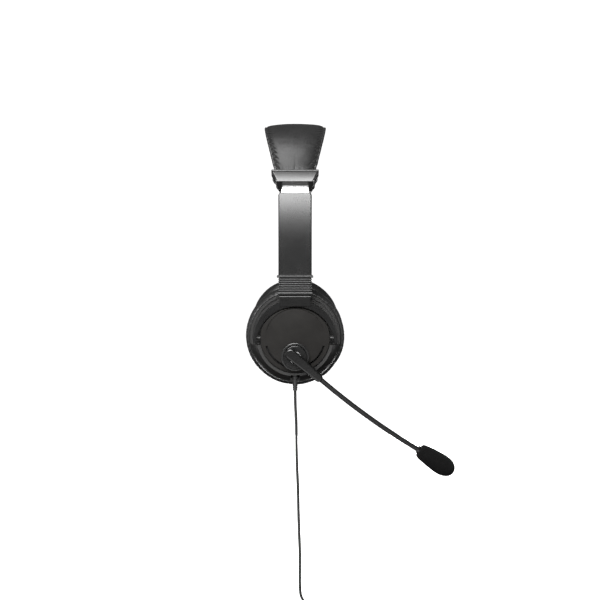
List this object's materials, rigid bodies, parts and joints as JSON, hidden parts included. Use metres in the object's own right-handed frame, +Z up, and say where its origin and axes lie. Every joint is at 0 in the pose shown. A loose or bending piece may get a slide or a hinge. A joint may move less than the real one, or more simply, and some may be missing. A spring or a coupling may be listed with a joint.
{
  "type": "office headset",
  "caption": "Over-the-head office headset with a padded leatherette band, sliding arms, tilting ear cups, a swinging boom microphone and a coiled lead with a plug.",
  "frame": {"origin": "middle of the headband pad's underside, where the headset rests on the crown of the head", "axes": "+Z up, +X towards the wearer's front, +Y from the ear cup with the microphone towards the plain one"},
  "size_m": [0.148, 0.1841, 0.4204],
  "materials": {
    "spring_steel": "brushed, bright",
    "screw_steel": "plain steel",
    "leatherette": "fine grained, soft sheen",
    "pad_foam": "open-cell foam",
    "windscreen_foam": "open-cell acoustic foam",
    "cord_rubber": "smooth, matte",
    "boom_rubber": "smooth, satin",
    "plug_rubber": "smooth, satin",
    "collar_plastic": "satin",
    "arm_plastic": "fine spark texture, satin",
    "cap_plastic": "satin",
    "cup_plastic": "fine spark texture, satin",
    "boom_plastic": "satin",
    "speaker_cloth": "fine woven mesh",
    "magnet": "plated, dull",
    "cone_film": "clear polymer film, off-white",
    "plated_metal": "nickel plated",
    "tongue_plastic": "white"
  },
  "bodies": {
    "headband": {"end_cap_inner_mic": "cap_plastic", "end_cap_inner_plain": "cap_plastic", "end_cap_outer_mic": "cap_plastic", "end_cap_outer_plain": "cap_plastic", "end_cap_screws": "screw_steel", "headband_spring": "spring_steel", "pad_cover": "leatherette", "pad_foam": "pad_foam"},
    "arm_mic": {"arm_collar_mic": "collar_plastic", "arm_cover_inner_mic": "arm_plastic", "arm_cover_outer_mic": "arm_plastic", "arm_screws_mic": "screw_steel", "detent_spring_mic": "screw_steel", "pivot_pins_mic": "screw_steel", "yoke_mic": "cup_plastic"},
    "cup_mic": {"baffle_mic": "cup_plastic", "boom_hub": "cup_plastic", "boom_screw": "screw_steel", "coil_tie": "cord_rubber", "cord": "cord_rubber", "cord_coil": "cord_rubber", "cord_tail": "cord_rubber", "cup_housing_mic": "cup_plastic", "cup_screws_mic": "screw_steel", "cushion_foam_mic": "pad_foam", "driver_cone_mic": "cone_film", "driver_frame_mic": "cup_plastic", "driver_magnet_mic": "magnet", "ear_cushion_mic": "leatherette", "ear_scrim_mic": "speaker_cloth", "face_cover_mic": "cup_plastic", "plug_body": "plug_rubber", "plug_shell": "plated_metal", "plug_tongue": "tongue_plastic", "strain_relief": "cord_rubber", "vent_mesh_mic": "speaker_cloth"},
    "boom": {"boom_rotor": "boom_plastic", "boom_tube": "boom_rubber", "lever_cover": "boom_plastic", "mic_capsule": "plated_metal", "mic_holder": "boom_plastic", "windscreen": "windscreen_foam"},
    "arm_plain": {"arm_collar_plain": "collar_plastic", "arm_cover_inner_plain": "arm_plastic", "arm_cover_outer_plain": "arm_plastic", "arm_screws_plain": "screw_steel", "detent_spring_plain": "screw_steel", "pivot_pins_plain": "screw_steel", "yoke_plain": "cup_plastic"},
    "cup_plain": {"baffle_plain": "cup_plastic", "cup_housing_plain": "cup_plastic", "cup_screws_plain": "screw_steel", "cushion_foam_plain": "pad_foam", "driver_cone_plain": "cone_film", "driver_frame_plain": "cup_plastic", "driver_magnet_plain": "magnet", "ear_cushion_plain": "leatherette", "ear_scrim_plain": "speaker_cloth", "face_cover_plain": "cup_plastic", "vent_mesh_plain": "speaker_cloth"}
  },
  "joints": [
    {"name": "arm_slide_mic", "type": "slide", "parent": "headband", "child": "arm_mic", "axis": [0, 0, -1], "range_m": [0, 0.021]},
    {"name": "cup_tilt_mic", "type": "hinge", "parent": "arm_mic", "child": "cup_mic", "pos_m": [0, -0.0801, -0.1435], "axis": [1, 0, 0], "range_deg": [-8, 8]},
    {"name": "boom_swing", "type": "hinge", "parent": "cup_mic", "child": "boom", "pos_m": [0, -0.092, -0.1564], "axis": [0, -1, 0], "range_deg": [-8, 262]},
    {"name": "arm_slide_plain", "type": "slide", "parent": "headband", "child": "arm_plain", "axis": [0, 0, -1], "range_m": [0, 0.021]},
    {"name": "cup_tilt_plain", "type": "hinge", "parent": "arm_plain", "child": "cup_plain", "pos_m": [0, 0.0801, -0.1435], "axis": [1, 0, 0], "range_deg": [-8, 8]}
  ]
}
